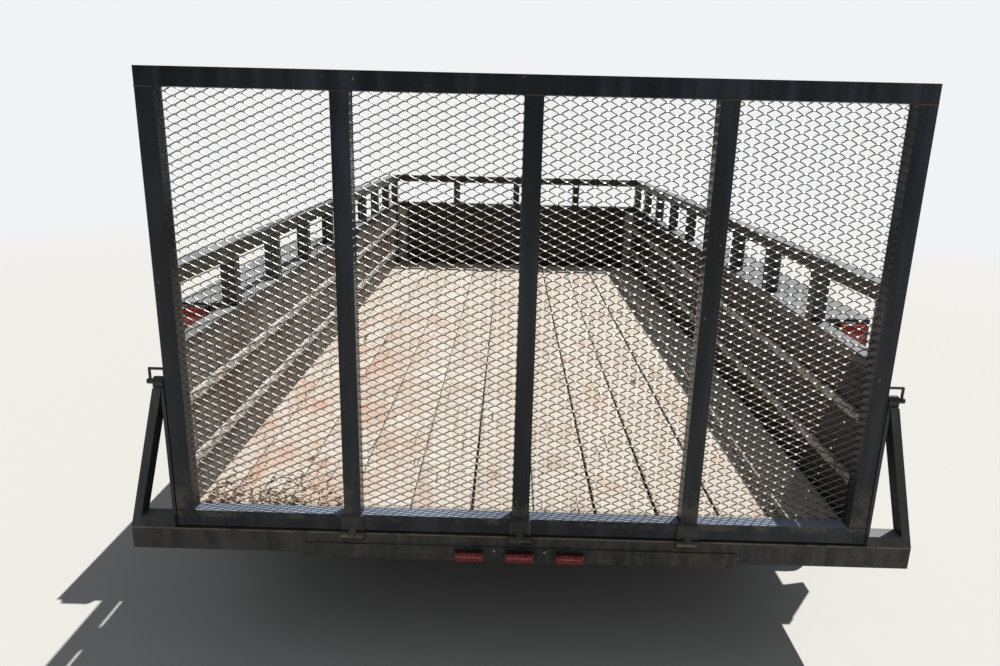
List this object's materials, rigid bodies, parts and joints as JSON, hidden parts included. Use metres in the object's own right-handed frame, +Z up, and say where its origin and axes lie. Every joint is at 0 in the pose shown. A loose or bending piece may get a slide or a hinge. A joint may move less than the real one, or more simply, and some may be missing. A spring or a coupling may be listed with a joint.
{
  "type": "utility trailer",
  "caption": "Open tandem-axle utility trailer with a wood deck, half-height panelled sides and a full-width mesh ramp gate at the rear.",
  "frame": {"origin": "on the ground under the middle of the trailer's length and width", "axes": "+Y forward to the coupler, +X right seen from behind, +Z up"},
  "size_m": [2.58, 5.66, 1.77],
  "materials": {
    "black_paint": "worn satin black enamel",
    "worn_paint": "weathered black paint with rust and road film",
    "mesh_steel": "black paint worn to bright steel on the ridges",
    "deck_wood": "sun-bleached softwood planks",
    "latch_steel": "black with worn edges",
    "plated_steel": "dull zinc plate",
    "coupler_paint": "black enamel",
    "red_lens": "clear red lens",
    "axle_paint": "dusty black",
    "tyre_rubber": "dusty black rubber",
    "wheel_paint": "white enamel",
    "hub_steel": "dull steel"
  },
  "bodies": {
    "chassis": {"axle_clamps": "axle_paint", "axle_front": "axle_paint", "axle_rear": "axle_paint", "coupler": "coupler_paint", "coupler_lever": "latch_steel", "cross_members": "black_paint", "deck_planks": "deck_wood", "equalizers": "axle_paint", "fender_left": "black_paint", "fender_right": "black_paint", "front_beam": "black_paint", "front_mid_rail": "black_paint", "front_panel": "worn_paint", "front_posts": "black_paint", "front_top_rail": "black_paint", "gate_brace_left": "black_paint", "gate_brace_right": "black_paint", "gate_latch_left": "latch_steel", "gate_latch_right": "latch_steel", "id_lamps": "red_lens", "jack_crank": "plated_steel", "jack_housing": "plated_steel", "lamp_bar": "black_paint", "leaf_springs": "axle_paint", "main_rail_left": "black_paint", "main_rail_right": "black_paint", "mid_rail_left": "black_paint", "mid_rail_right": "black_paint", "rear_sill": "worn_paint", "safety_chains": "plated_steel", "side_panel_left": "worn_paint", "side_panel_right": "worn_paint", "side_posts_left": "black_paint", "side_posts_right": "black_paint", "sill_hinges": "worn_paint", "spring_hangers": "axle_paint", "tail_lamps": "red_lens", "tongue_rails": "black_paint", "top_rail_left": "black_paint", "top_rail_right": "black_paint"},
    "wheel_front_left": {"tyre_front_left": "tyre_rubber", "rim_front_left": "wheel_paint", "hub_front_left": "hub_steel"},
    "wheel_front_right": {"tyre_front_right": "tyre_rubber", "rim_front_right": "wheel_paint", "hub_front_right": "hub_steel"},
    "wheel_rear_left": {"tyre_rear_left": "tyre_rubber", "rim_rear_left": "wheel_paint", "hub_rear_left": "hub_steel"},
    "wheel_rear_right": {"tyre_rear_right": "tyre_rubber", "rim_rear_right": "wheel_paint", "hub_rear_right": "hub_steel"},
    "ramp_gate": {"gate_top_rail": "black_paint", "gate_bottom_rail": "black_paint", "gate_stiles": "black_paint", "gate_bars": "black_paint", "gate_mesh": "mesh_steel", "gate_hinges": "worn_paint"},
    "jack_leg": {"jack_leg": "plated_steel"}
  },
  "joints": [
    {"name": "ramp_hinge", "type": "hinge", "parent": "chassis", "child": "ramp_gate", "pos_m": [0, -2.815, 0.458], "axis": [1, 0, 0], "range_deg": [0, 110]},
    {"name": "wheel_spin_front_left", "type": "hinge", "parent": "chassis", "child": "wheel_front_left", "pos_m": [-1.169, -0.811, 0.36], "axis": [1, 0, 0], "continuous": true},
    {"name": "wheel_spin_front_right", "type": "hinge", "parent": "chassis", "child": "wheel_front_right", "pos_m": [1.169, -0.811, 0.36], "axis": [1, 0, 0], "continuous": true},
    {"name": "wheel_spin_rear_left", "type": "hinge", "parent": "chassis", "child": "wheel_rear_left", "pos_m": [-1.169, -1.675, 0.36], "axis": [1, 0, 0], "continuous": true},
    {"name": "wheel_spin_rear_right", "type": "hinge", "parent": "chassis", "child": "wheel_rear_right", "pos_m": [1.169, -1.675, 0.36], "axis": [1, 0, 0], "continuous": true},
    {"name": "jack_slide", "type": "slide", "parent": "chassis", "child": "jack_leg", "axis": [0, 0, 1], "range_m": [-0.12, 0.2]}
  ]
}
